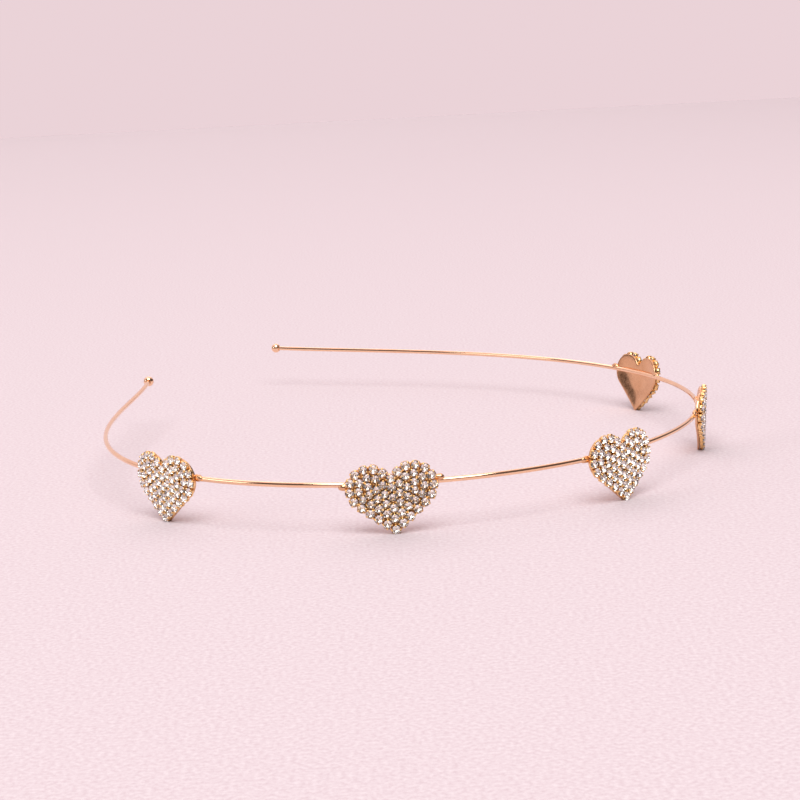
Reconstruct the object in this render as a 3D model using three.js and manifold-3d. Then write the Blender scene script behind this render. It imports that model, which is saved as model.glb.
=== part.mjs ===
// A wire headband with five stone-set hearts, lying on the tips of its hearts.
// Millimetres, +Z up, the surface at Z = 0. The middle of the band faces -Y and its open side faces +Y.
import * as THREE from 'three';
import { mergeVertices } from 'three/addons/utils/BufferGeometryUtils.js';
import Module from 'manifold-3d';

// The wire. BEND holds the factors of a polynomial for its curvature, in 1/mm,
// of the place along it, which runs from -1 at one end to 1 at the other.
const WIRE_LENGTH = 400;
const WIRE_DIAMETER = 1.0;
const WIRE_HEIGHT = 9.1;
const BEND = [0.01455, -0.00676, 0.00713, 0.00895, -0.0309];
const LEFT_END_RISE = 2.3;
const RIGHT_END_RISE = 1.1;
const ROUTE_STEP = 0.5;
const WIRE_STEPS = 60;
const WIRE_SIDES = 8;

// The hearts, a row for each: the place along the wire from its middle, and in degrees
// how far the tip leans outward and how far the heart is turned in its own plane.
const HEARTS = [
  { at: -100, lean: -0.5, turn: 0 },
  { at: -52.5, lean: 0.5, turn: -3.5 },
  { at: -5, lean: 4, turn: 0 },
  { at: 41.5, lean: -3.5, turn: 0.5 },
  { at: 90, lean: -7, turn: -0.5 },
];

// A heart's outline: two round lobes, and straight sides that would meet just under the surface.
const LOBE_RADIUS = 4.7;
const LOBE_SPREAD = 3.95;
const LOBE_HEIGHT = 8.5;
const SIDES_MEET = -0.45;

// The hearts are bent round the head with the wire.
const BEND_RADIUS = 50;
const BEND_STEPS = 8;
const BEND_HALF_ANGLE = 0.21;
const BEND_DEPTH = 3;

// A heart's layers, outward from the middle of the wire
const PLATE_BACK = 0.4;
const PLATE_THICKNESS = 0.5;
const PLATE_INSET = 0.55;
const PLATE_STEPS_PER_SIDE = 16;
const GAP = 0.2;
const SETTING_THICKNESS = 0.5;
const STONE_CLEARANCE = 0.05;

// The stones: an outer row that follows the outline, and inner rows that even out over the field inside it
const STONE_RADIUS = 0.74;
const TABLE_RADIUS = 0.44;
const STONE_SEAT = 0.2;
const CROWN_HEIGHT = 0.4;
const STONE_FACETS = 8;
const OUTER_ROW = { inset: 0.86, perSide: 12 };
const INNER_ROWS = [
  { inset: 2.46, perSide: 10 },
  { inset: 4.05, perSide: 7 },
];
const FIELD_INSET = 1.66;
const RELAX_GRID = 0.2;
const RELAX_ROUNDS = 10;
const SCALLOP_REACH = 0.84;
const SCALLOP_DEPTH = 0.32;
const SCALLOP_STEPS = 3;

// Solder where the wire leaves a heart: half lengths along the wire, upward and outward,
// and how far its middle is inside the heart's outline and behind the wire's middle.
const SOLDER = { along: 1.2, up: 0.72, out: 0.55, inset: 0.1, behind: 0.35 };
const SOLDER_SIDES = 6;
const SOLDER_RINGS = 5;

// The balls on the ends
const BALL_DIAMETER = 2.4;
const BALL_HOLE_DIAMETER = 1.4;
const BALL_HOLE_PAST_CENTRE = 0.25;
const BALL_SIDES = 10;
const BALL_STEPS = 9;

const GOLD = new THREE.MeshStandardMaterial({ color: 0xdfa070, metalness: 1, roughness: 0.18 });
const CRYSTAL = new THREE.MeshStandardMaterial({ color: 0xf1eeec, metalness: 0, roughness: 0.05 });

// Points nearer than this are one point
const SAME_PLACE = 1e-3;

const wasm = await Module();
wasm.setup();

// Meshes and solids

// A lathe leaves triangles with two corners in one place where its profile meets the axis.
function withoutEmptyTriangles(corners) {
  const kept = [];
  for (let start = 0; start < corners.length; start += 3) {
    const [a, b, c] = corners.slice(start, start + 3);
    if (a !== b && b !== c && c !== a) kept.push(a, b, c);
  }
  return kept;
}

function solidOf(geometry) {
  const bare = geometry.clone();
  bare.deleteAttribute('normal');
  bare.deleteAttribute('uv');
  const merged = mergeVertices(bare, SAME_PLACE);
  const vertProperties = new Float32Array(merged.attributes.position.array);
  const triVerts = new Uint32Array(withoutEmptyTriangles(merged.index.array));
  return new wasm.Manifold(new wasm.Mesh({ numProp: 3, vertProperties, triVerts }));
}

function geometryOf(solid) {
  const mesh = solid.getMesh();
  const geometry = new THREE.BufferGeometry();
  geometry.setAttribute('position', new THREE.BufferAttribute(mesh.vertProperties, 3));
  geometry.setIndex(new THREE.BufferAttribute(mesh.triVerts, 1));
  return geometry;
}

function joined(geometries) {
  const solids = geometries.map(solidOf);
  return solids.reduce((whole, next) => whole.add(next));
}

function aboveSurface(solid) {
  const under = new THREE.BoxGeometry(WIRE_LENGTH, WIRE_LENGTH, WIRE_HEIGHT);
  under.translate(0, 0, -WIRE_HEIGHT / 2);
  return solid.subtract(solidOf(under));
}

function namedMesh(name, geometry, material) {
  const mesh = new THREE.Mesh(geometry, material);
  mesh.name = name;
  return mesh;
}

// The wire's route

function curvature(distance) {
  const place = distance / (WIRE_LENGTH / 2);
  return BEND.reduce((sum, factor, power) => sum + factor * place ** power, 0);
}

function wireHeight(distance) {
  const first = HEARTS[0].at;
  const last = HEARTS[HEARTS.length - 1].at;
  const half = WIRE_LENGTH / 2;
  if (distance < first) return WIRE_HEIGHT + LEFT_END_RISE * ((first - distance) / (half + first)) ** 2;
  if (distance > last) return WIRE_HEIGHT + RIGHT_END_RISE * ((distance - last) / (half - last)) ** 2;
  return WIRE_HEIGHT;
}

// Places along one half of the wire, from its middle to an end, each with its point and its heading.
function wireHalf(direction, step) {
  const places = [];
  const point = new THREE.Vector2(0, 0);
  let heading = 0;
  for (let distance = 0; Math.abs(distance) <= WIRE_LENGTH / 2; distance += direction * step) {
    places.push({ distance, heading, x: point.x, y: point.y, z: wireHeight(distance) });
    const middle = heading + curvature(distance + direction * step / 4) * direction * step / 2;
    point.x += direction * step * Math.cos(middle);
    point.y += direction * step * Math.sin(middle);
    heading += curvature(distance + direction * step / 2) * direction * step;
  }
  return places;
}

const LEFT_HALF = wireHalf(-1, ROUTE_STEP);
const RIGHT_HALF = wireHalf(1, ROUTE_STEP);

function placeOnWire(distance) {
  const half = distance < 0 ? LEFT_HALF : RIGHT_HALF;
  return half[Math.round(Math.abs(distance) / ROUTE_STEP)];
}

function wireGeometry() {
  const points = [];
  for (let step = 0; step <= WIRE_STEPS; step += 1) {
    const place = placeOnWire(WIRE_LENGTH * (step / WIRE_STEPS - 0.5));
    points.push(new THREE.Vector3(place.x, place.y, place.z));
  }
  const section = new THREE.Shape();
  section.absarc(0, 0, WIRE_DIAMETER / 2, 0, 2 * Math.PI);
  return new THREE.ExtrudeGeometry(section, {
    steps: WIRE_STEPS,
    curveSegments: WIRE_SIDES / 2,
    extrudePath: new THREE.CatmullRomCurve3(points),
    bevelEnabled: false,
  });
}

// The heart's outline, drawn in X across and Y up from the surface

const NOTCH_HEIGHT = LOBE_HEIGHT + Math.sqrt(LOBE_RADIUS ** 2 - LOBE_SPREAD ** 2);
const NOTCH_TO_LOBE = Math.atan2(LOBE_HEIGHT - NOTCH_HEIGHT, LOBE_SPREAD);

// The slope of the straight side that runs from a tip to a lobe.
function sideSlope(lobeRadius, tip) {
  const rise = LOBE_HEIGHT - tip;
  return Math.atan2(rise, LOBE_SPREAD) - Math.asin(lobeRadius / Math.hypot(LOBE_SPREAD, rise));
}

const SIDE_SLOPE = sideSlope(LOBE_RADIUS, SIDES_MEET);

// The right half of the outline, moved in by a distance, from the notch over the lobe down to the tip.
function halfOutline(inset, tip = SIDES_MEET + inset / Math.cos(SIDE_SLOPE)) {
  const radius = LOBE_RADIUS - inset;
  const half = new THREE.Path();
  half.absarc(0, NOTCH_HEIGHT, inset, -Math.PI / 2, NOTCH_TO_LOBE, false);
  const lobeEnd = sideSlope(radius, tip) - Math.PI / 2;
  half.absarc(LOBE_SPREAD, LOBE_HEIGHT, radius, NOTCH_TO_LOBE + Math.PI, lobeEnd, true);
  half.lineTo(0, tip);
  return half;
}

function mirrored(points) {
  return points.map((point) => new THREE.Vector2(-point.x, point.y));
}

function wholeOutline(rightHalf) {
  const leftHalf = mirrored(rightHalf).reverse();
  const points = [...rightHalf, ...leftHalf];
  const apart = points.filter((point, index) => point.distanceTo(points.at(index - 1)) > SAME_PLACE);
  return new THREE.Shape(apart);
}

function isInside(point, inset) {
  const across = Math.abs(point.x);
  const fromSide = (point.y - SIDES_MEET) * Math.cos(SIDE_SLOPE) - across * Math.sin(SIDE_SLOPE);
  const fromLobe = LOBE_RADIUS - Math.hypot(across - LOBE_SPREAD, point.y - LOBE_HEIGHT);
  const fromNotch = Math.hypot(across, point.y - NOTCH_HEIGHT);
  const lobeHeading = Math.atan2(point.y - LOBE_HEIGHT, across - LOBE_SPREAD);
  const beyondLobe = lobeHeading > SIDE_SLOPE - Math.PI / 2 && lobeHeading < NOTCH_TO_LOBE + Math.PI;
  return beyondLobe ? fromLobe > inset : fromSide > inset && fromNotch > inset;
}

// The stones' places

function stonesInRow(row) {
  const right = halfOutline(row.inset).getSpacedPoints(row.perSide);
  return [...right, ...mirrored(right.slice(1, -1))];
}

// A square grid of points inside the outline.
function gridInside(pitch, inset) {
  const points = [];
  const columns = Math.ceil((LOBE_SPREAD + LOBE_RADIUS) / pitch);
  for (let row = 0; row * pitch < LOBE_HEIGHT + LOBE_RADIUS; row += 1) {
    for (let column = -columns; column <= columns; column += 1) {
      const point = new THREE.Vector2(column * pitch, row * pitch);
      if (isInside(point, inset)) points.push(point);
    }
  }
  return points;
}

function nearestIndex(point, stones) {
  let best = 0;
  stones.forEach((stone, index) => {
    if (stone.distanceToSquared(point) < stones[best].distanceToSquared(point)) best = index;
  });
  return best;
}

// An even field: each inner stone moves to the middle of the ground that lies nearest to it, over and over.
function fieldStones() {
  let stones = INNER_ROWS.flatMap(stonesInRow);
  const ground = gridInside(RELAX_GRID, FIELD_INSET);
  for (let round = 0; round < RELAX_ROUNDS; round += 1) {
    const sums = stones.map(() => ({ total: new THREE.Vector2(), count: 0 }));
    for (const point of ground) {
      const sum = sums[nearestIndex(point, stones)];
      sum.total.add(point);
      sum.count += 1;
    }
    stones = sums.map((sum) => sum.total.divideScalar(sum.count));
  }
  return stones;
}

// A heart's pieces, made with X along the wire, -Y outward and Z up, and the wire's middle at the origin

const PLATE_FRONT = PLATE_BACK + PLATE_THICKNESS;
const SETTING_BACK = PLATE_FRONT + GAP;
const SETTING_FRONT = SETTING_BACK + SETTING_THICKNESS;

// A length of wall round the head, between two distances outward from the middle of the wire.
function bentWall(back, front) {
  const plan = new THREE.Shape();
  const from = -Math.PI / 2 - BEND_HALF_ANGLE;
  const to = -Math.PI / 2 + BEND_HALF_ANGLE;
  plan.absarc(0, BEND_RADIUS, BEND_RADIUS + front, from, to, false);
  plan.absarc(0, BEND_RADIUS, BEND_RADIUS + back, to, from, true);
  const depth = 2 * WIRE_HEIGHT;
  const wall = new THREE.ExtrudeGeometry(plan, { depth, curveSegments: BEND_STEPS / 2, bevelEnabled: false });
  return wall.translate(0, 0, SIDES_MEET - WIRE_HEIGHT);
}

// Bends a flat heart round the head. Each point keeps its place along the wire and its height.
function bent(geometry) {
  const position = geometry.attributes.position;
  for (let index = 0; index < position.count; index += 1) {
    const across = position.getX(index);
    const radius = BEND_RADIUS - position.getY(index);
    position.setY(index, BEND_RADIUS - Math.sqrt(radius ** 2 - across ** 2));
  }
  return geometry;
}

function flatSheet(outline, back, front) {
  const sheet = new THREE.ExtrudeGeometry(outline, { depth: front - back, bevelEnabled: false });
  sheet.rotateX(Math.PI / 2);
  return sheet.translate(0, -back, -WIRE_HEIGHT);
}

// The plate keeps the heart's full length at the tip, which it stands on.
function plateGeometry() {
  const half = halfOutline(PLATE_INSET, SIDES_MEET);
  const outline = wholeOutline(half.getSpacedPoints(PLATE_STEPS_PER_SIDE));
  const slab = solidOf(flatSheet(outline, -BEND_DEPTH, BEND_DEPTH));
  return geometryOf(slab.intersect(solidOf(bentWall(PLATE_BACK, PLATE_FRONT))));
}

function solderGeometry(side) {
  const blob = new THREE.SphereGeometry(1, SOLDER_SIDES, SOLDER_RINGS);
  blob.scale(SOLDER.along, SOLDER.out, SOLDER.up);
  return blob.translate(side * (LOBE_SPREAD + LOBE_RADIUS - SOLDER.inset), SOLDER.behind, 0);
}

function scallopedEdge() {
  const row = halfOutline(OUTER_ROW.inset);
  const count = OUTER_ROW.perSide * SCALLOP_STEPS;
  const edge = [];
  for (let index = 0; index <= count; index += 1) {
    const point = row.getPointAt(index / count);
    const along = row.getTangentAt(index / count);
    const wave = (1 - Math.cos((2 * Math.PI * index) / SCALLOP_STEPS)) / 2;
    const reach = SCALLOP_REACH - SCALLOP_DEPTH * wave;
    edge.push(new THREE.Vector2(Math.max(0, point.x - along.y * reach), point.y + along.x * reach));
  }
  return wholeOutline(edge);
}

function stoneGeometry(place) {
  const profile = [
    new THREE.Vector2(0, -STONE_SEAT),
    new THREE.Vector2(STONE_RADIUS, 0),
    new THREE.Vector2(TABLE_RADIUS, CROWN_HEIGHT),
    new THREE.Vector2(0, CROWN_HEIGHT),
  ];
  const stone = new THREE.LatheGeometry(profile, STONE_FACETS);
  stone.rotateX(Math.PI);
  return stone.translate(place.x, -SETTING_FRONT, place.y - WIRE_HEIGHT);
}

// The stones and their setting are made flat, bent as one, and cut off at the back along the bend.
function stoneFieldGeometry() {
  const setting = flatSheet(scallopedEdge(), PLATE_FRONT, SETTING_FRONT);
  const stones = [...stonesInRow(OUTER_ROW), ...fieldStones()].map(stoneGeometry);
  const field = solidOf(bent(geometryOf(joined([setting, ...stones]))));
  return geometryOf(field.subtract(solidOf(bentWall(-BEND_DEPTH, SETTING_BACK))));
}

// Where each heart goes: on the wire and along it, leant and turned,
// and lifted until its stones clear the surface.
function heartFrame(heart, stoneField) {
  const place = placeOnWire(heart.at);
  const frame = new THREE.Matrix4().makeRotationZ(place.heading);
  frame.multiply(new THREE.Matrix4().makeRotationX(-THREE.MathUtils.degToRad(heart.lean)));
  frame.multiply(new THREE.Matrix4().makeRotationY(THREE.MathUtils.degToRad(heart.turn)));
  frame.setPosition(place.x, place.y, place.z);
  const placed = stoneField.clone().applyMatrix4(frame);
  placed.computeBoundingBox();
  const lift = Math.max(0, STONE_CLEARANCE - placed.boundingBox.min.z);
  return frame.setPosition(place.x, place.y, place.z + lift);
}

// The named pieces

function bandMesh(frames) {
  const heartMetal = [plateGeometry(), solderGeometry(-1), solderGeometry(1)];
  const placed = frames.flatMap((frame) => heartMetal.map((piece) => piece.clone().applyMatrix4(frame)));
  const metal = joined([wireGeometry(), ...placed]);
  return namedMesh('band', geometryOf(aboveSurface(metal)), GOLD);
}

function stoneFieldMesh(number, geometry, frame) {
  const mesh = namedMesh(`heart_stones_${number}`, geometry, CRYSTAL);
  mesh.applyMatrix4(frame);
  return mesh;
}

function ballGeometry() {
  const radius = BALL_DIAMETER / 2;
  const hole = BALL_HOLE_DIAMETER / 2;
  const mouth = -Math.acos(hole / radius);
  const profile = [
    new THREE.Vector2(0, BALL_HOLE_PAST_CENTRE),
    new THREE.Vector2(hole, BALL_HOLE_PAST_CENTRE),
  ];
  for (let step = 0; step < BALL_STEPS; step += 1) {
    const angle = THREE.MathUtils.lerp(mouth, Math.PI / 2, step / BALL_STEPS);
    profile.push(new THREE.Vector2(radius * Math.cos(angle), radius * Math.sin(angle)));
  }
  profile.push(new THREE.Vector2(0, radius));
  return new THREE.LatheGeometry(profile, BALL_SIDES);
}

function ballMesh(number, direction) {
  const end = placeOnWire((direction * WIRE_LENGTH) / 2);
  const before = placeOnWire(direction * (WIRE_LENGTH / 2 - BALL_DIAMETER));
  const outward = new THREE.Vector3(end.x - before.x, end.y - before.y, end.z - before.z).normalize();
  const mesh = namedMesh(`end_ball_${number}`, ballGeometry(), GOLD);
  mesh.quaternion.setFromUnitVectors(new THREE.Vector3(0, 1, 0), outward);
  mesh.position.set(end.x, end.y, end.z);
  return mesh;
}

function headband() {
  const group = new THREE.Group();
  const stoneField = stoneFieldGeometry();
  const frames = HEARTS.map((heart) => heartFrame(heart, stoneField));
  group.add(bandMesh(frames));
  frames.forEach((frame, index) => group.add(stoneFieldMesh(index + 1, stoneField, frame)));
  group.add(ballMesh(1, -1), ballMesh(2, 1));
  const centre = new THREE.Box3().setFromObject(group, true).getCenter(new THREE.Vector3());
  group.position.set(-centre.x, -centre.y, 0);
  return group;
}

export default headband();
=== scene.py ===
# A wire headband with five stone-set hearts: its metal, claw cups and cut stones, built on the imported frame.
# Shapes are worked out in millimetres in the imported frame, and become metres when a piece is made.
import math

import bmesh
import bpy
import numpy as np
from mathutils import Matrix, Vector


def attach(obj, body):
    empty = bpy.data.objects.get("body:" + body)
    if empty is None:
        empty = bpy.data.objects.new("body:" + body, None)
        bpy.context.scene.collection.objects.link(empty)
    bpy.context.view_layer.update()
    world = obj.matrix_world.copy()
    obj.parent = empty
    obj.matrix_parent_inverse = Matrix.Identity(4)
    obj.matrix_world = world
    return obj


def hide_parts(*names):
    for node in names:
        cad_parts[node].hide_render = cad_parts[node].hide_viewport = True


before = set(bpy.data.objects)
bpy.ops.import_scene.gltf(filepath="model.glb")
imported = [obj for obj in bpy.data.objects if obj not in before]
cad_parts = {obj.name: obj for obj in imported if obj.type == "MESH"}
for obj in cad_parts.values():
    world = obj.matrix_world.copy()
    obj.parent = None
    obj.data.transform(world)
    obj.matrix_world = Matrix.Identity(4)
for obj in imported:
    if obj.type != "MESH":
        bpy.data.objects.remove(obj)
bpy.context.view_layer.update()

MM = 0.001
SEED = 7

# Points nearer than this, in millimetres, are one point
SAME_PLACE = 0.002

# The digits that places are rounded to before they are compared or sorted
PLACE_DIGITS = 3
SORT_DIGITS = 2

# The wire, as in the part's source
WIRE_LENGTH = 400.0
WIRE_RADIUS = 0.5
WIRE_HEIGHT = 9.1
BEND = (0.01455, -0.00676, 0.00713, 0.00895, -0.0309)
LEFT_END_RISE = 2.3
RIGHT_END_RISE = 1.1
ROUTE_STEP = 0.5
WIRE_SIDES = 20
FIRST_HEART_AT = -100.0
MIDDLE_HEART_AT = -5.0
LAST_HEART_AT = 90.0
HEART_COUNT = 5
MIDDLE_HEART = 3

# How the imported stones' tables are told from the rest of their mesh
FACING = 0.9
SAME_FACING = 1 - 3e-5
TABLE_TOLERANCE = 0.05

# A heart's outline and layers, as in the part's source
LOBE_RADIUS = 4.7
LOBE_SPREAD = 3.95
LOBE_HEIGHT = 8.5
SIDES_MEET = -0.45
BEND_RADIUS = 50.0
PLATE_BACK = 0.4
PLATE_FRONT = 0.9
PLATE_INSET = 0.55
TABLE_FRONT = 2.0
ROW_INSET = 0.86
NOTCH_HEIGHT = LOBE_HEIGHT + math.sqrt(LOBE_RADIUS**2 - LOBE_SPREAD**2)
NOTCH_TO_LOBE = math.atan2(LOBE_HEIGHT - NOTCH_HEIGHT, LOBE_SPREAD)


def side_slope(lobe_radius, tip):
    """The slope of the straight side that runs from a tip to a lobe."""
    rise = LOBE_HEIGHT - tip
    return math.atan2(rise, LOBE_SPREAD) - math.asin(lobe_radius / math.hypot(LOBE_SPREAD, rise))


SIDE_SLOPE = side_slope(LOBE_RADIUS, SIDES_MEET)
TIP_STONE_HEIGHT = SIDES_MEET + ROW_INSET / math.cos(SIDE_SLOPE)

# The plates' tips reach further down than their other edges, and stand on the surface.
PLATE_TIP_DROP = PLATE_INSET / math.cos(SIDE_SLOPE)

# Steps along half an outline: round the notch, over the lobe and down the side
NOTCH_STEPS = 8
LOBE_STEPS = 44
SIDE_STEPS = 22

# The plates' rounded edges and slightly dished backs
BACK_FILLET = 0.2
FRONT_FILLET = 0.1
FILLET_STEPS = 6
DISH_DEPTH = 0.15
DISH_RINGS = 12
INNERMOST_INSET = 4.3
STRIP_WIDTH = 0.8
STRIPS_REACH = 8.8

# The sheet that carries the cups
SHEET_BACK = 0.94
SHEET_FRONT = 1.04
SHEET_INSET = 0.62
SHEET_FILLET = 0.05

# Solder where the wire leaves a heart: half lengths along the wire, upward and outward,
# its place, how lumpy it is, and the angle that its pole leaves open
SOLDER_ALONG = 1.2
SOLDER_UP = 0.72
SOLDER_OUT = 0.55
SOLDER_INSET = 0.1
SOLDER_BEHIND = 0.35
SOLDER_SIDES = 28
SOLDER_RINGS = 18
SOLDER_LUMP = 0.06
SOLDER_POLE = 0.02

# A cut stone: heights outward from the wire's middle, and radii
STONE_RADIUS = 0.735
TABLE_RADIUS = 0.44
STAR_DROP = 0.1
GIRDLE_FRONT = 1.7
GIRDLE_BACK = 1.66
CULET = 1.12
LOWER_JOIN_RADIUS = 0.2
STONE_SIDES = 8
STONE_TILT = math.radians(6)
STONE_GAP = 0.02
LEAST_SIZE = 0.94
GREATEST_SIZE = 1.13

# A claw cup: the wall's section as radius and height, and the claw's bent path
CUP_SECTION = ((0.66, 1.0), (0.77, 1.12), (0.8, 1.4), (0.8, 1.55), (0.78, 1.59), (0.75, 1.57), (0.7, 1.35))
CUP_SIDES = 24
CUP_BULGE = 0.04
CUP_BULGE_WIDTH = 0.3
CLAWS = 4
CLAW_FOOT = 0.8
CLAW_PATH = ((0.78, 1.08), (0.81, 1.4), (0.82, 1.66), (0.79, 1.79), (0.72, 1.86), (0.64, 1.91), (0.6, 1.93))
CLAW_HALF_WIDTH = 0.15
CLAW_HALF_THICKNESS = 0.09
CLAW_TAPER = (1.0, 1.0, 1.0, 1.0, 0.95, 0.8, 0.35)
CLAW_SIDES = 10
CLAW_STEPS = 2
CLAW_TURNS = 72
CLAW_SHIFT = 5
LEAST_CLAW_ROOM = 0.7
MOST_CLAW_ROOM = 1.15

# The balls on the ends, each aimed along the last few steps of the wire
BALL_AIM_STEPS = 4
BALL_RADIUS = 1.2
BALL_HOLE_RADIUS = 0.49
BALL_HOLE_REACH = 0.36
BALL_POLE_RADIUS = 0.001
BALL_MOUTH = 0.62
BALL_LIP = 0.08
BALL_SIDES = 40
BALL_STEPS = 22

# The camera, fitted to the photograph: its place and lens in millimetres, and its angles in radians
CAMERA_FROM = (-288.9, -212.8, 85.81)
CAMERA_TURN = 0.811925
CAMERA_PITCH = 0.180974
CAMERA_ROLL = -0.051561
CAMERA_LENS = 85.0
CAMERA_SENSOR = 36.0

# The lights: each one's place to the right of the object, away from the camera and up, and its width and
# length, all in metres, and its power in watts. Two of them face the lit place.
KEY_LIGHT = {"place": (0.2, -2.7, 4.5), "size": (4.8, 4.0), "power": 286.0}
FAR_LIGHT = {"place": (0.0, 2.6, 1.8), "size": (3.0, 0.8), "power": 12.0}
LEFT_LIGHT = {"place": (-1.5, -0.5, 0.6), "size": (0.8, 0.6), "power": 4.0}
LIT_PLACE = (0.0, -0.03, 0.0)

# The sky. Its brightness is given at heights from the horizon to overhead, for the camera's side and for the
# far side. The far side's middle is given by its height and its turn to the left, and its edges by the
# cosines of the angles from that middle. The tint is the sky's green and blue for each part of red.
NEAR_SKY = ((0.0, 0.11), (0.8, 0.12), (0.94, 0.32), (1.0, 1.2))
FAR_SKY = ((0.0, 0.85), (0.4, 0.9), (0.7, 1.2), (1.0, 1.3))
FAR_SKY_MIDDLE = math.radians(40)
FAR_SKY_TURN = math.radians(16)
FAR_SKY_EDGES = (0.48, 0.7)
SKY_TINT = (0.82, 0.85)
BACKDROP_TONE = (0.825, 0.65, 0.685, 1.0)

# The cloth's reach to each side of the object, in metres
FLOOR_REACH = 2.2

# The part of a noise's range that its lowest and highest values are spread over
NOISE_RANGE = (0.3, 0.7)

# The metals: the colours and the roughness that each runs between, and its waves
ROSE_GOLD = {
    "low": (0.95, 0.6, 0.38), "high": (0.98, 0.66, 0.43),
    "smoothest": 0.06, "roughest": 0.14, "wave_scale": 120, "wave_height": 0.0001,
}
PLATE_GOLD = {
    "low": (0.72, 0.4, 0.21), "high": (0.82, 0.49, 0.28),
    "smoothest": 0.12, "roughest": 0.24, "wave_scale": 150, "wave_height": 0.0004,
}
CLAW_GOLD = {
    "low": (0.96, 0.6, 0.25), "high": (1.0, 0.68, 0.32),
    "smoothest": 0.08, "roughest": 0.18, "wave_scale": 900, "wave_height": 0.00005,
}
# The sheet behind the cups: rougher than the claws, and a darker gold that is painted shade in the recesses
# between the cups
DULL_SHADED_GOLD = {
    "low": (0.9, 0.52, 0.19), "high": (1.0, 0.64, 0.28),
    "smoothest": 0.4, "roughest": 0.55, "wave_scale": 1200, "wave_height": 0.00005,
}


# Meshes


def loft(rings, wrap=False):
    """Rings of points as one closed skin, which either wraps from the last ring to the first or is capped."""
    rings = np.asarray(rings, float)
    count, sides = rings.shape[:2]
    faces = []
    for ring in range(count if wrap else count - 1):
        here, after = ring * sides, (ring + 1) % count * sides
        for side in range(sides):
            beside = (side + 1) % sides
            faces.append((here + side, here + beside, after + beside, after + side))
    if not wrap:
        faces.append(tuple(range(sides))[::-1])
        faces.append(tuple(range((count - 1) * sides, count * sides)))
    return rings.reshape(-1, 3), faces


def joined(shapes):
    points = []
    faces = []
    start = 0
    for shape_points, shape_faces in shapes:
        points.append(shape_points)
        faces.extend(tuple(start + corner for corner in face) for face in shape_faces)
        start += len(shape_points)
    return np.vstack(points), faces


def moved(shape, matrix):
    points, faces = shape
    return points @ matrix[:3, :3].T + matrix[:3, 3], faces


def new_piece(name, shape, materials, smooth=True, face_slots=None):
    points, faces = shape
    mesh = bpy.data.meshes.new(name)
    mesh.from_pydata((points * MM).tolist(), [], faces)
    for material in materials:
        mesh.materials.append(material)
    if face_slots is not None:
        mesh.polygons.foreach_set("material_index", face_slots)
    outward_normals(mesh)
    mesh.polygons.foreach_set("use_smooth", [smooth] * len(mesh.polygons))
    piece = bpy.data.objects.new(name, mesh)
    bpy.context.scene.collection.objects.link(piece)
    return piece


def outward_normals(mesh):
    work = bmesh.new()
    work.from_mesh(mesh)
    bmesh.ops.recalc_face_normals(work, faces=work.faces[:])
    work.to_mesh(mesh)
    work.free()


def cut_by_plane(work, point, normal, clear_inner=False):
    everything = work.verts[:] + work.edges[:] + work.faces[:]
    return bmesh.ops.bisect_plane(
        work, geom=everything, plane_co=point, plane_no=normal, clear_inner=clear_inner
    )


def cut_at_surface(piece):
    """Takes off what is under the surface, and closes the cut."""
    work = bmesh.new()
    work.from_mesh(piece.data)
    cut = cut_by_plane(work, (0, 0, 0), (0, 0, 1), clear_inner=True)
    rim = [part for part in cut["geom_cut"] if isinstance(part, bmesh.types.BMEdge)]
    bmesh.ops.holes_fill(work, edges=rim)
    work.to_mesh(piece.data)
    work.free()


def sharp_edges_by_angle(piece, degrees):
    piece.data.set_sharp_from_angle(angle=math.radians(degrees))


# The hearts' places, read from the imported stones


def node_triangles(name):
    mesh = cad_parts[name].data
    mesh.calc_loop_triangles()
    places = np.empty(len(mesh.vertices) * 3)
    mesh.vertices.foreach_get("co", places)
    corners = np.empty(len(mesh.loop_triangles) * 3, dtype=np.int32)
    mesh.loop_triangles.foreach_get("vertices", corners)
    return places.reshape(-1, 3)[corners.reshape(-1, 3)] / MM


def rough_outward(triangles):
    """About the way a heart faces: across its flattest direction, away from the middle of the band."""
    corners = triangles.reshape(-1, 3)
    centred = corners - corners.mean(axis=0)
    flattest = np.linalg.eigh(centred.T @ centred)[1][:, 0]
    return flattest if flattest @ corners.mean(axis=0) > 0 else -flattest


def connected(corner_of, corner_count):
    """Labels that triangles share when a chain of shared corners joins them."""
    labels = np.arange(corner_count)
    while True:
        lowest = labels.copy()
        np.minimum.at(lowest, corner_of, labels[corner_of].min(axis=1)[:, None])
        if (lowest == labels).all():
            return labels[corner_of[:, 0]]
        labels = lowest


def stone_tables(triangles):
    """The middle of each stone's table and the way that the table faces."""
    crosses = np.cross(triangles[:, 1] - triangles[:, 0], triangles[:, 2] - triangles[:, 0])
    lengths = np.linalg.norm(crosses, axis=1)
    facing = crosses @ rough_outward(triangles) > FACING * lengths
    triangles, crosses = triangles[facing], crosses[facing]
    corners, corner_of = np.unique(triangles.reshape(-1, 3).round(PLACE_DIGITS), axis=0, return_inverse=True)
    labels = connected(corner_of.reshape(-1, 3), len(corners))
    centres = []
    normals = []
    for label in np.unique(labels):
        patch = labels == label
        rim = np.unique(triangles[patch].reshape(-1, 3).round(PLACE_DIGITS), axis=0)
        centre = rim.mean(axis=0)
        reach = np.linalg.norm(rim - centre, axis=1).max()
        if abs(reach - TABLE_RADIUS) > TABLE_TOLERANCE:
            continue
        normal = crosses[patch].sum(axis=0)
        normals.append(normal / np.linalg.norm(normal))
        centres.append(centre)
    return np.array(centres), np.array(normals)


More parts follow.
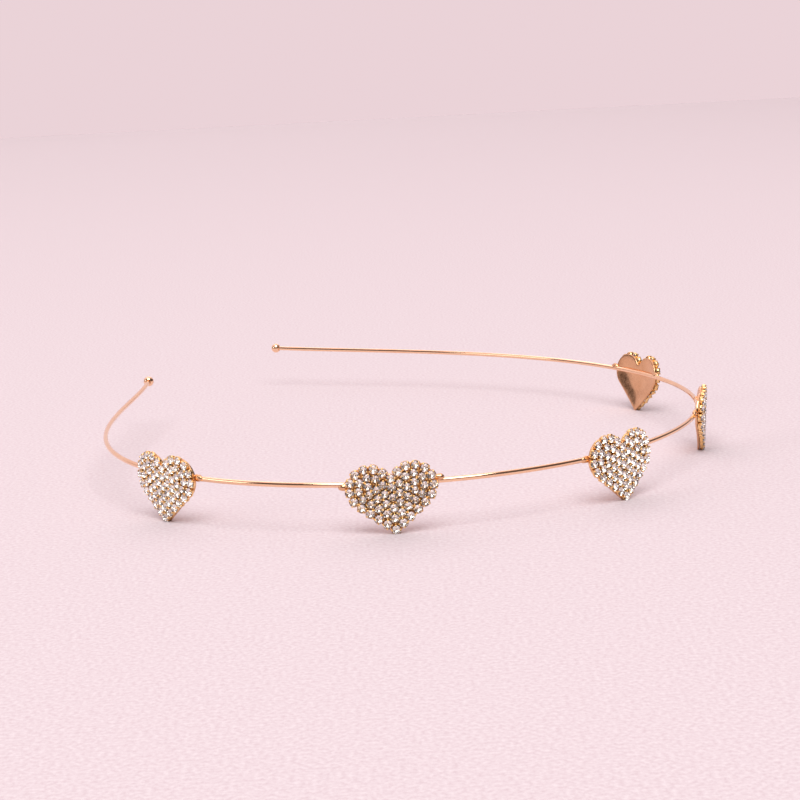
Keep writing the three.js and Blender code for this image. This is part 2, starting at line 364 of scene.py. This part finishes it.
def heart_layout(number):
    """A heart's frame and its stones' places in it.

    X runs along the wire, Y up the heart's face from the surface, and Z outward. The stones in the tip
    and in the notch are on the heart's middle line, and face straight outward.
    """
    centres, normals = stone_tables(node_triangles(f"heart_stones_{number}"))
    lowest = centres[:, 2].argmin()
    tip, outward = centres[lowest], normals[lowest]
    middle_line = centres[normals @ outward > SAME_FACING]
    notch = middle_line[middle_line[:, 2].argmax()]
    up = notch - tip - ((notch - tip) @ outward) * outward
    up /= np.linalg.norm(up)
    along = np.cross(up, outward)
    matrix = np.eye(4)
    matrix[:3, :3] = np.column_stack((along, up, outward))
    matrix[:3, 3] = tip - TIP_STONE_HEIGHT * up - TABLE_FRONT * outward
    places = (centres - matrix[:3, 3]) @ np.column_stack((along, up))
    return matrix, places[np.lexsort(places.round(SORT_DIGITS).T)]


# The wire's route


def curvature(distance):
    place = distance / (WIRE_LENGTH / 2)
    return sum(factor * place**power for power, factor in enumerate(BEND))


def wire_height(distance):
    half = WIRE_LENGTH / 2
    if distance < FIRST_HEART_AT:
        return WIRE_HEIGHT + LEFT_END_RISE * ((FIRST_HEART_AT - distance) / (half + FIRST_HEART_AT)) ** 2
    if distance > LAST_HEART_AT:
        return WIRE_HEIGHT + RIGHT_END_RISE * ((distance - LAST_HEART_AT) / (half - LAST_HEART_AT)) ** 2
    return WIRE_HEIGHT


def wire_half(direction):
    """Points along one half of the wire, from its middle to an end."""
    points = []
    x = y = heading = 0.0
    step = direction * ROUTE_STEP
    for index in range(round(WIRE_LENGTH / 2 / ROUTE_STEP) + 1):
        distance = index * step
        points.append((x, y, wire_height(distance)))
        middle = heading + curvature(distance + step / 4) * step / 2
        x += step * math.cos(middle)
        y += step * math.sin(middle)
        heading += curvature(distance + step / 2) * step
    return points


def wire_route(middle_heart):
    """The whole route, moved so that the middle heart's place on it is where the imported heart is."""
    route = np.array(wire_half(-1)[:0:-1] + wire_half(1))
    at_heart = route[round((MIDDLE_HEART_AT + WIRE_LENGTH / 2) / ROUTE_STEP)]
    origin = middle_heart @ np.array((0, WIRE_HEIGHT, 0, 1))
    shift = origin[:3] - at_heart
    shift[2] = 0.0
    return route + shift, shift


def wire_shape(route):
    tangents = np.gradient(route, axis=0)
    tangents /= np.linalg.norm(tangents, axis=1)[:, None]
    sideways = np.cross(tangents, (0, 0, 1))
    sideways /= np.linalg.norm(sideways, axis=1)[:, None]
    upward = np.cross(sideways, tangents)
    rings = []
    for angle in np.arange(WIRE_SIDES) * 2 * math.pi / WIRE_SIDES:
        rings.append(route + WIRE_RADIUS * (math.cos(angle) * sideways + math.sin(angle) * upward))
    return loft(np.stack(rings, axis=1))


def ball_shape(route, end):
    """A drilled ball on an end of the wire, turned about the way that the wire points there."""
    centre = route[end]
    inner = route[end - BALL_AIM_STEPS] if end == -1 else route[end + BALL_AIM_STEPS]
    outward = (centre - inner) / np.linalg.norm(centre - inner)
    mouth = math.acos(BALL_MOUTH / BALL_RADIUS)
    profile = [(BALL_HOLE_RADIUS, -BALL_HOLE_REACH)]
    profile.append((BALL_MOUTH - BALL_LIP, -BALL_RADIUS * math.sin(mouth) + BALL_LIP))
    for angle in np.linspace(-mouth, math.pi / 2, BALL_STEPS, endpoint=False):
        profile.append((BALL_RADIUS * math.cos(angle), BALL_RADIUS * math.sin(angle)))
    profile.append((BALL_POLE_RADIUS, BALL_RADIUS))
    across = np.cross(outward, (0, 0, 1))
    across /= np.linalg.norm(across)
    third = np.cross(outward, across)
    angles = np.arange(BALL_SIDES) * 2 * math.pi / BALL_SIDES
    circle = np.outer(np.cos(angles), across) + np.outer(np.sin(angles), third)
    return loft([centre + radius * circle + height * outward for radius, height in profile])


# The hearts' outlines and plates


def arc(centre, radius, start, end, steps):
    angles = np.linspace(start, end, steps + 1)
    return np.column_stack((centre[0] + radius * np.cos(angles), centre[1] + radius * np.sin(angles)))


def half_outline(inset, tip_drop):
    """The right half of a heart's outline, moved inward, from the notch over the lobe to the tip."""
    radius = LOBE_RADIUS - inset
    tip = SIDES_MEET + inset / math.cos(SIDE_SLOPE) - tip_drop
    notch = arc((0, NOTCH_HEIGHT), inset, -math.pi / 2, NOTCH_TO_LOBE, NOTCH_STEPS)
    lobe_end = side_slope(radius, tip) - math.pi / 2
    lobe = arc((LOBE_SPREAD, LOBE_HEIGHT), radius, NOTCH_TO_LOBE + math.pi, lobe_end, LOBE_STEPS)
    side = np.linspace(lobe[-1], (0, tip), SIDE_STEPS + 1)
    return np.vstack((notch, lobe[1:], side[1:]))


def outline_ring(inset, outward, tip_drop=0.0):
    right = half_outline(inset, tip_drop)
    left = right[-2:0:-1] * (-1, 1)
    flat = np.vstack((right, left))
    return np.column_stack((flat, np.full(len(flat), outward)))


def cut_into_strips(shape):
    """Cuts a flat heart's faces across the wire, so that they can follow the bend."""
    points, faces = shape
    work = bmesh.new()
    corners = [work.verts.new(point) for point in points]
    for face in faces:
        work.faces.new([corners[index] for index in face])
    for across in np.arange(-STRIPS_REACH, STRIPS_REACH, STRIP_WIDTH):
        cut_by_plane(work, (across, 0, 0), (1, 0, 0))
    bmesh.ops.remove_doubles(work, verts=work.verts[:], dist=SAME_PLACE)
    work.verts.index_update()
    cut_points = np.array([vert.co[:] for vert in work.verts])
    cut_faces = [tuple(vert.index for vert in face.verts) for face in work.faces]
    work.free()
    return cut_points, cut_faces


def bent(shape):
    """Bends a flat heart round the head. Each point keeps its place along the wire and its height."""
    points, faces = cut_into_strips(shape)
    points[:, 2] = np.sqrt((BEND_RADIUS + points[:, 2]) ** 2 - points[:, 0] ** 2) - BEND_RADIUS
    return points, faces


def on_bend(place):
    """The frame that carries a stone and its cup from the heart's middle to their place on the bend."""
    angle = math.asin(place[0] / (BEND_RADIUS + TABLE_FRONT))
    to_place = Matrix.Translation((0, place[1], -BEND_RADIUS))
    turn = Matrix.Rotation(angle, 4, "Y")
    return to_place @ turn @ Matrix.Translation((0, 0, BEND_RADIUS))


def fillet(radius, outer_inset, outer_height, direction):
    """Insets and heights round an edge, from a face to the wall beside it."""
    turns = np.linspace(0, math.pi / 2, FILLET_STEPS + 1)
    insets = outer_inset + radius * (1 - np.sin(turns))
    heights = outer_height + direction * radius * (1 - np.cos(turns))
    return list(zip(insets, heights))


def plate_shape():
    steps = np.linspace(1, 0, DISH_RINGS, endpoint=False)
    rim = PLATE_INSET + BACK_FILLET
    insets = rim + (INNERMOST_INSET - rim) * steps
    depths = PLATE_BACK + DISH_DEPTH * np.sin(steps * math.pi / 2) ** 2
    dish = list(zip(insets, depths))
    back = fillet(BACK_FILLET, PLATE_INSET, PLATE_BACK, 1)
    front = fillet(FRONT_FILLET, PLATE_INSET, PLATE_FRONT, -1)[::-1]
    rows = dish + back + front
    return bent(loft([outline_ring(inset, height, PLATE_TIP_DROP) for inset, height in rows]))


def sheet_shape():
    back = fillet(SHEET_FILLET, SHEET_INSET, SHEET_BACK, 1)
    front = fillet(SHEET_FILLET, SHEET_INSET, SHEET_FRONT, -1)[::-1]
    return bent(loft([outline_ring(inset, height) for inset, height in back + front]))


def solder_shape(across, rng):
    """A smooth lump that joins the wire to a plate's edge, with waves round it and along it."""
    phases = rng.uniform(0, 2 * math.pi, 3)
    turns = np.arange(SOLDER_SIDES) * 2 * math.pi / SOLDER_SIDES
    rings = []
    for polar in np.linspace(SOLDER_POLE, math.pi - SOLDER_POLE, SOLDER_RINGS):
        lumps = np.sin(2 * turns + phases[0])
        lumps += np.sin(3 * turns + 4 * polar + phases[1])
        lumps += math.sin(3 * polar + phases[2])
        reach = (1 + SOLDER_LUMP * lumps) * math.sin(polar)
        along = np.full(SOLDER_SIDES, across + SOLDER_ALONG * math.cos(polar))
        upward = WIRE_HEIGHT + SOLDER_UP * reach * np.cos(turns)
        outward = SOLDER_OUT * reach * np.sin(turns) - SOLDER_BEHIND
        rings.append(np.column_stack((along, upward, outward)))
    return loft(rings)


# The stones and their claw cups, drawn round the Z axis


def ring_points(radius, height, turn):
    angles = turn + np.arange(STONE_SIDES) * 2 * math.pi / STONE_SIDES
    return np.column_stack((radius * np.cos(angles), radius * np.sin(angles), np.full(STONE_SIDES, height)))


def stone_rings():
    """A stone's rings of corners, from its table to where its lower facets join."""
    half = math.pi / STONE_SIDES
    crown_run = (STONE_RADIUS - TABLE_RADIUS) / (TABLE_FRONT - GIRDLE_FRONT)
    star_radius = (TABLE_RADIUS + STAR_DROP * crown_run) / math.cos(half)
    lower_height = CULET + LOWER_JOIN_RADIUS * math.cos(half) * (GIRDLE_BACK - CULET) / STONE_RADIUS
    return [
        ring_points(TABLE_RADIUS, TABLE_FRONT, 0),
        ring_points(star_radius, TABLE_FRONT - STAR_DROP, half),
        ring_points(STONE_RADIUS, GIRDLE_FRONT, 0),
        ring_points(STONE_RADIUS, GIRDLE_FRONT, half),
        ring_points(STONE_RADIUS, GIRDLE_BACK, 0),
        ring_points(STONE_RADIUS, GIRDLE_BACK, half),
        ring_points(LOWER_JOIN_RADIUS, lower_height, half),
    ]


def cut_stone():
    """A brilliant cut: its points, its faces, and how many of its faces are the crown's and girdle's."""
    rings = stone_rings()
    points = np.vstack((*rings, (0, 0, CULET)))
    culet = len(points) - 1
    table, star, front, front_mid, back, back_mid, lower = np.arange(culet).reshape(-1, STONE_SIDES)
    crown = [tuple(table)]
    pavilion = []
    for k in range(STONE_SIDES):
        after = (k + 1) % STONE_SIDES
        crown.append((table[k], star[k], table[after]))
        crown.append((table[k], star[k - 1], front[k], star[k]))
        crown.append((star[k], front[k], front_mid[k]))
        crown.append((star[k], front_mid[k], front[after]))
        crown.append((front[k], back[k], back_mid[k], front_mid[k]))
        crown.append((front_mid[k], back_mid[k], back[after], front[after]))
        pavilion.append((lower[k], back_mid[k], back[k]))
        pavilion.append((lower[k], back[after], back_mid[k]))
        pavilion.append((culet, lower[k], back[k], lower[k - 1]))
    return points, crown + pavilion, len(crown)


def standing_at(place, turn, tilt, tilt_heading):
    """A frame at a stone's place, turned about its axis and tilted about its girdle."""
    girdle = on_bend(place) @ Matrix.Translation((0, 0, GIRDLE_FRONT))
    axis = Vector((math.cos(tilt_heading), math.sin(tilt_heading), 0))
    lean = Matrix.Rotation(tilt, 4, axis)
    spin = Matrix.Rotation(turn, 4, "Z")
    return np.array(girdle @ lean @ spin @ Matrix.Translation((0, 0, -GIRDLE_FRONT)))


def claw_turns(place, others):
    """The turns at which a stone's claws stand round it.

    They are about a quarter turn apart, each where the stones beside it leave room, and none stands
    so low that it would go under the surface.
    """
    turns = np.arange(CLAW_TURNS) * 2 * math.pi / CLAW_TURNS
    feet = place + CLAW_FOOT * np.column_stack((np.cos(turns), np.sin(turns)))
    room = np.linalg.norm(feet[:, None] - others[None], axis=2).min(axis=1).clip(max=MOST_CLAW_ROOM)
    room[feet[:, 1] < CLAW_HALF_WIDTH] = 0
    quarter = CLAW_TURNS // CLAWS
    starts = [room[start::quarter].sum() + room[start::quarter].min() for start in range(quarter)]
    chosen = []
    for claw in range(CLAWS):
        middle = int(np.argmax(starts)) + claw * quarter
        near = [(middle + shift) % CLAW_TURNS for shift in range(-CLAW_SHIFT, CLAW_SHIFT + 1)]
        roomiest = room[near].round(PLACE_DIGITS).max()
        most_room = [index for index in near if room[index].round(PLACE_DIGITS) == roomiest]
        best = min(most_room, key=lambda index: abs(near.index(index) - CLAW_SHIFT))
        if room[best] > LEAST_CLAW_ROOM:
            chosen.append(turns[best])
    return chosen


def smooth_path(points, steps):
    """More points on a path through the given ones, which stay on it."""
    points = np.asarray(points, float)
    padded = np.vstack((2 * points[0] - points[1], points, 2 * points[-1] - points[-2]))
    path = []
    for index in range(len(points) - 1):
        a, b, c, d = padded[index : index + 4]
        for t in np.arange(steps) / steps:
            bend = 2 * a - 5 * b + 4 * c - d
            twist = 3 * b - a - 3 * c + d
            path.append(0.5 * (2 * b + (c - a) * t + bend * t**2 + twist * t**3))
    path.append(points[-1])
    return np.array(path)


def claw_shape(turn):
    path = smooth_path(CLAW_PATH, CLAW_STEPS)
    taper = np.interp(np.arange(len(path)) / CLAW_STEPS, np.arange(len(CLAW_TAPER)), CLAW_TAPER)
    tangents = np.gradient(path, axis=0)
    tangents /= np.linalg.norm(tangents, axis=1)[:, None]
    angles = np.arange(CLAW_SIDES) * 2 * math.pi / CLAW_SIDES
    rings = []
    for (radius, height), (run, rise), size in zip(path, tangents, taper):
        thick = CLAW_HALF_THICKNESS * size * np.sin(angles)
        wide = CLAW_HALF_WIDTH * size * np.cos(angles)
        rings.append(np.column_stack((radius - rise * thick, wide, height + run * thick)))
    shape = loft(rings)
    return moved(shape, np.array(Matrix.Rotation(turn, 4, "Z")))


def cup_shape(turns):
    """A round wall that swells out to each claw."""
    angles = np.arange(CUP_SIDES) * 2 * math.pi / CUP_SIDES
    away = np.abs((angles[:, None] - np.array(turns)[None] + math.pi) % (2 * math.pi) - math.pi)
    swell = CUP_BULGE * np.exp(-((away / CUP_BULGE_WIDTH) ** 2)).sum(axis=1)
    radii, heights = np.transpose(CUP_SECTION)
    rings = []
    for angle, extra in zip(angles, swell):
        reach = radii + extra
        rings.append(np.column_stack((reach * math.cos(angle), reach * math.sin(angle), heights)))
    return loft(rings, wrap=True)


def stone_sizes(places):
    """How large each stone is beside the usual one, so that it fills its room and clears the next stone."""
    apart = np.linalg.norm(places[:, None] - places[None], axis=2)
    nearest = np.sort(apart, axis=1)[:, 1]
    return ((nearest - STONE_GAP) / 2 / STONE_RADIUS).clip(LEAST_SIZE, GREATEST_SIZE)


def widened(size):
    return np.diag((size, size, 1.0, 1.0))


def setting_shape(places, sizes):
    """The sheet with its cups and claws, and which faces are the sheet's: rough gold, darker as painted shade
    between the cups.
    """
    sheet = sheet_shape()
    shapes = [sheet]
    for index, (place, size) in enumerate(zip(places, sizes)):
        turns = claw_turns(place, np.delete(places, index, axis=0))
        cup = joined([cup_shape(turns)] + [claw_shape(turn) for turn in turns])
        shapes.append(moved(cup, np.array(on_bend(place)) @ widened(size)))
    points, faces = joined(shapes)
    return (points, faces), [1] * len(sheet[1]) + [0] * (len(faces) - len(sheet[1]))


def stones_shape(places, sizes, rng):
    """All stones of a heart, each set a little askew, and which faces are foil."""
    points, faces, crown_faces = cut_stone()
    slots = [0] * crown_faces + [1] * (len(faces) - crown_faces)
    shapes = []
    for place, size in zip(places, sizes):
        turn = rng.uniform(0, 2 * math.pi)
        tilt = rng.uniform(0, STONE_TILT)
        heading = rng.uniform(0, 2 * math.pi)
        shapes.append(moved((points, faces), standing_at(place, turn, tilt, heading) @ widened(size)))
    return joined(shapes), slots * len(places)


# Materials


def new_material(name):
    material = bpy.data.materials.new(name)
    material.use_nodes = True
    tree = material.node_tree
    return material, tree, tree.nodes["Principled BSDF"]


def add_node(tree, kind, **settings):
    node = tree.nodes.new(kind)
    for key, value in settings.items():
        setattr(node, key, value)
    return node


def noise(tree, scale, detail=2.0):
    coordinates = add_node(tree, "ShaderNodeTexCoord")
    texture = add_node(tree, "ShaderNodeTexNoise")
    texture.inputs["Scale"].default_value = scale
    texture.inputs["Detail"].default_value = detail
    tree.links.new(coordinates.outputs["Object"], texture.inputs["Vector"])
    return texture.outputs["Fac"]


def between(tree, factor, low, high):
    """A number or a colour that runs from low to high as the factor crosses its middle range."""
    if isinstance(low, tuple):
        ramp = add_node(tree, "ShaderNodeValToRGB")
        for element, place, colour in zip(ramp.color_ramp.elements, NOISE_RANGE, (low, high)):
            element.position = place
            element.color = (*colour, 1)
        tree.links.new(factor, ramp.inputs["Fac"])
        return ramp.outputs["Color"]
    mapped = add_node(tree, "ShaderNodeMapRange")
    mapped.inputs["From Min"].default_value = NOISE_RANGE[0]
    mapped.inputs["From Max"].default_value = NOISE_RANGE[1]
    mapped.inputs["To Min"].default_value = low
    mapped.inputs["To Max"].default_value = high
    tree.links.new(factor, mapped.inputs["Value"])
    return mapped.outputs["Result"]


def bump(tree, shader, height, strength, distance):
    node = add_node(tree, "ShaderNodeBump")
    node.inputs["Strength"].default_value = strength
    node.inputs["Distance"].default_value = distance
    tree.links.new(height, node.inputs["Height"])
    tree.links.new(node.outputs["Normal"], shader.inputs["Normal"])


def metal(name, finish):
    material, tree, shader = new_material(name)
    shader.inputs["Metallic"].default_value = 1.0
    tone = between(tree, noise(tree, scale=260), finish["low"], finish["high"])
    gloss = between(tree, noise(tree, scale=1400, detail=4), finish["smoothest"], finish["roughest"])
    tree.links.new(tone, shader.inputs["Base Color"])
    tree.links.new(gloss, shader.inputs["Roughness"])
    waves = noise(tree, finish["wave_scale"], detail=1)
    bump(tree, shader, waves, strength=0.5, distance=finish["wave_height"])
    return material


def crystal_material():
    material, tree, shader = new_material("crystal")
    shader.inputs["Transmission Weight"].default_value = 1.0
    shader.inputs["IOR"].default_value = 1.57
    tone = between(tree, noise(tree, scale=700), (0.97, 0.98, 1.0), (1.0, 0.99, 0.97))
    gloss = between(tree, noise(tree, scale=3000, detail=3), 0.0, 0.03)
    tree.links.new(tone, shader.inputs["Base Color"])
    tree.links.new(gloss, shader.inputs["Roughness"])
    return material


def foil_material():
    material, tree, shader = new_material("foil")
    shader.inputs["Metallic"].default_value = 1.0
    tone = between(tree, noise(tree, scale=900), (0.96, 0.94, 0.9), (1.0, 0.98, 0.94))
    gloss = between(tree, noise(tree, scale=2500, detail=3), 0.03, 0.1)
    tree.links.new(tone, shader.inputs["Base Color"])
    tree.links.new(gloss, shader.inputs["Roughness"])
    return material


def cloth_material():
    material, tree, shader = new_material("pale_cloth")
    shader.inputs["Specular IOR Level"].default_value = 0.15
    shader.inputs["Roughness"].default_value = 0.9
    tone = between(tree, noise(tree, scale=1400, detail=4), (0.6, 0.5, 0.525), (0.7, 0.627, 0.645))
    tree.links.new(tone, shader.inputs["Base Color"])
    bump(tree, shader, noise(tree, scale=1500, detail=4), strength=0.3, distance=0.0003)
    return material


# The object


def ride_root(piece, slot, *nodes):
    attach(piece, "root")
    if nodes:
        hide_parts(*nodes)


def make_plate(number, matrix, rng, material):
    edge = LOBE_SPREAD + LOBE_RADIUS - SOLDER_INSET
    shape = joined([plate_shape(), solder_shape(-edge, rng), solder_shape(edge, rng)])
    plate = new_piece(f"plate_{number}", moved(shape, matrix), [material])
    cut_at_surface(plate)
    sharp_edges_by_angle(plate, degrees=40)
    ride_root(plate, "gold", "band")


def make_setting(number, matrix, places, sizes, materials):
    shape, slots = setting_shape(places, sizes)
    setting = new_piece(f"setting_{number}", moved(shape, matrix), materials, face_slots=slots)
    cut_at_surface(setting)
    sharp_edges_by_angle(setting, degrees=50)
    ride_root(setting, "gold", f"heart_stones_{number}")


def make_stones(number, matrix, places, sizes, rng, materials):
    shape, slots = stones_shape(places, sizes, rng)
    stones = new_piece(f"stones_{number}", moved(shape, matrix), materials, smooth=False, face_slots=slots)
    cut_at_surface(stones)
    ride_root(stones, "crystal", f"heart_stones_{number}")


def make_object():
    rose_gold = metal("rose_gold", ROSE_GOLD)
    plate_gold = metal("plate_gold", PLATE_GOLD)
    claw_gold = metal("claw_gold", CLAW_GOLD)
    # The sheet's darker gold is painted shade between the cups
    dull_shaded_gold = metal("dull_shaded_gold", DULL_SHADED_GOLD)
    crystal = crystal_material()
    foil = foil_material()
    layouts = [heart_layout(number) for number in range(1, HEART_COUNT + 1)]
    route, shift = wire_route(layouts[MIDDLE_HEART - 1][0])
    wire = new_piece("wire", wire_shape(route), [rose_gold])
    ride_root(wire, "gold", "band")
    for number, end in ((1, 0), (2, -1)):
        ball = new_piece(f"ball_{number}", ball_shape(route, end), [rose_gold])
        ride_root(ball, "gold", f"end_ball_{number}")
    for number, (matrix, places) in enumerate(layouts, start=1):
        rng = np.random.default_rng(SEED + number)
        sizes = stone_sizes(places)
        make_plate(number, matrix, rng, plate_gold)
        make_setting(number, matrix, places, sizes, [claw_gold, dull_shaded_gold])
        make_stones(number, matrix, places, sizes, rng, [crystal, foil])
    return shift


# The stage


def make_floor():
    """A flat cloth under the object, in line with the camera's view."""
    reach = FLOOR_REACH
    corners = [(-reach, -reach, 0), (reach, -reach, 0), (reach, reach, 0), (-reach, reach, 0)]
    mesh = bpy.data.meshes.new("floor")
    mesh.from_pydata(corners, [], [(0, 1, 2, 3)])
    mesh.materials.append(cloth_material())
    floor = bpy.data.objects.new("floor", mesh)
    floor.rotation_euler.z = -CAMERA_TURN
    bpy.context.scene.collection.objects.link(floor)


def from_camera(right, away, up):
    """A place given as seen from the camera's side, in metres from the middle of the object."""
    return Matrix.Rotation(-CAMERA_TURN, 4, "Z") @ Vector((right, away, up))


def area_light(name, settings, target):
    light = bpy.data.lights.new(name, "AREA")
    light.shape = "RECTANGLE"
    light.size, light.size_y = settings["size"]
    light.energy = settings["power"]
    place = from_camera(*settings["place"])
    lamp = bpy.data.objects.new(name, light)
    lamp.location = place
    lamp.rotation_euler = (Vector(target) - place).to_track_quat("-Z", "Y").to_euler()
    bpy.context.scene.collection.objects.link(lamp)


def sky_ramp(tree, height, stops):
    ramp = add_node(tree, "ShaderNodeValToRGB")
    elements = ramp.color_ramp.elements
    while len(elements) < len(stops):
        elements.new(0.5)
    for element, (place, grey) in zip(elements, stops):
        element.position = place
        element.color = (grey, grey * SKY_TINT[0], grey * SKY_TINT[1], 1)
    tree.links.new(height, ramp.inputs["Fac"])
    return ramp.outputs["Color"]


def far_sky_share(tree, direction):
    """How much of the far side's sky there is in a direction, from 0 to 1."""
    level = math.cos(FAR_SKY_MIDDLE)
    leftward = -level * math.sin(FAR_SKY_TURN)
    away = level * math.cos(FAR_SKY_TURN)
    toward = add_node(tree, "ShaderNodeVectorMath", operation="DOT_PRODUCT")
    toward.inputs[1].default_value = from_camera(leftward, away, math.sin(FAR_SKY_MIDDLE))
    tree.links.new(direction, toward.inputs[0])
    share = add_node(tree, "ShaderNodeMapRange")
    share.inputs["From Min"].default_value = FAR_SKY_EDGES[0]
    share.inputs["From Max"].default_value = FAR_SKY_EDGES[1]
    tree.links.new(toward.outputs["Value"], share.inputs["Value"])
    return share.outputs["Result"]


def make_world():
    """A dark room with a pale dome on its far side. The camera sees a pale backdrop past the cloth."""
    world = bpy.data.worlds.new("studio")
    bpy.context.scene.world = world
    world.use_nodes = True
    tree = world.node_tree
    coordinates = add_node(tree, "ShaderNodeTexCoord")
    split = add_node(tree, "ShaderNodeSeparateXYZ")
    tree.links.new(coordinates.outputs["Generated"], split.inputs["Vector"])
    pick = add_node(tree, "ShaderNodeMix", data_type="RGBA")
    tree.links.new(far_sky_share(tree, coordinates.outputs["Generated"]), pick.inputs["Factor"])
    tree.links.new(sky_ramp(tree, split.outputs["Z"], NEAR_SKY), pick.inputs["A"])
    tree.links.new(sky_ramp(tree, split.outputs["Z"], FAR_SKY), pick.inputs["B"])
    seen = add_node(tree, "ShaderNodeLightPath")
    shown = add_node(tree, "ShaderNodeMix", data_type="RGBA")
    shown.inputs["B"].default_value = BACKDROP_TONE
    tree.links.new(seen.outputs["Is Camera Ray"], shown.inputs["Factor"])
    tree.links.new(pick.outputs["Result"], shown.inputs["A"])
    tree.links.new(shown.outputs["Result"], tree.nodes["Background"].inputs["Color"])


def make_lights():
    """A key light from above, a light straight above the far cloth, and a small one at the left."""
    far_cloth = from_camera(*FAR_LIGHT["place"][:2], 0.0)
    area_light("key_softbox", KEY_LIGHT, LIT_PLACE)
    area_light("far_softbox", FAR_LIGHT, far_cloth)
    area_light("left_softbox", LEFT_LIGHT, LIT_PLACE)


def make_camera(shift):
    look = Vector((math.sin(CAMERA_TURN), math.cos(CAMERA_TURN), 0)) * math.cos(CAMERA_PITCH)
    look.z = -math.sin(CAMERA_PITCH)
    level_right = look.cross(Vector((0, 0, 1))).normalized()
    level_up = level_right.cross(look)
    right = math.cos(CAMERA_ROLL) * level_right + math.sin(CAMERA_ROLL) * level_up
    up = math.cos(CAMERA_ROLL) * level_up - math.sin(CAMERA_ROLL) * level_right
    place = (Vector(CAMERA_FROM) + Vector(shift)) * MM
    lens = bpy.data.cameras.new("camera")
    lens.lens = CAMERA_LENS
    lens.sensor_width = CAMERA_SENSOR
    lens.clip_start = 0.01
    lens.clip_end = 50
    camera = bpy.data.objects.new("camera", lens)
    camera.matrix_world = Matrix((
        (right.x, up.x, -look.x, place.x),
        (right.y, up.y, -look.y, place.y),
        (right.z, up.z, -look.z, place.z),
        (0, 0, 0, 1),
    ))
    bpy.context.scene.collection.objects.link(camera)
    bpy.context.scene.camera = camera


plan_shift = make_object()
make_floor()
make_lights()
make_world()
make_camera(plan_shift)
bpy.context.scene.view_settings.view_transform = "Standard"
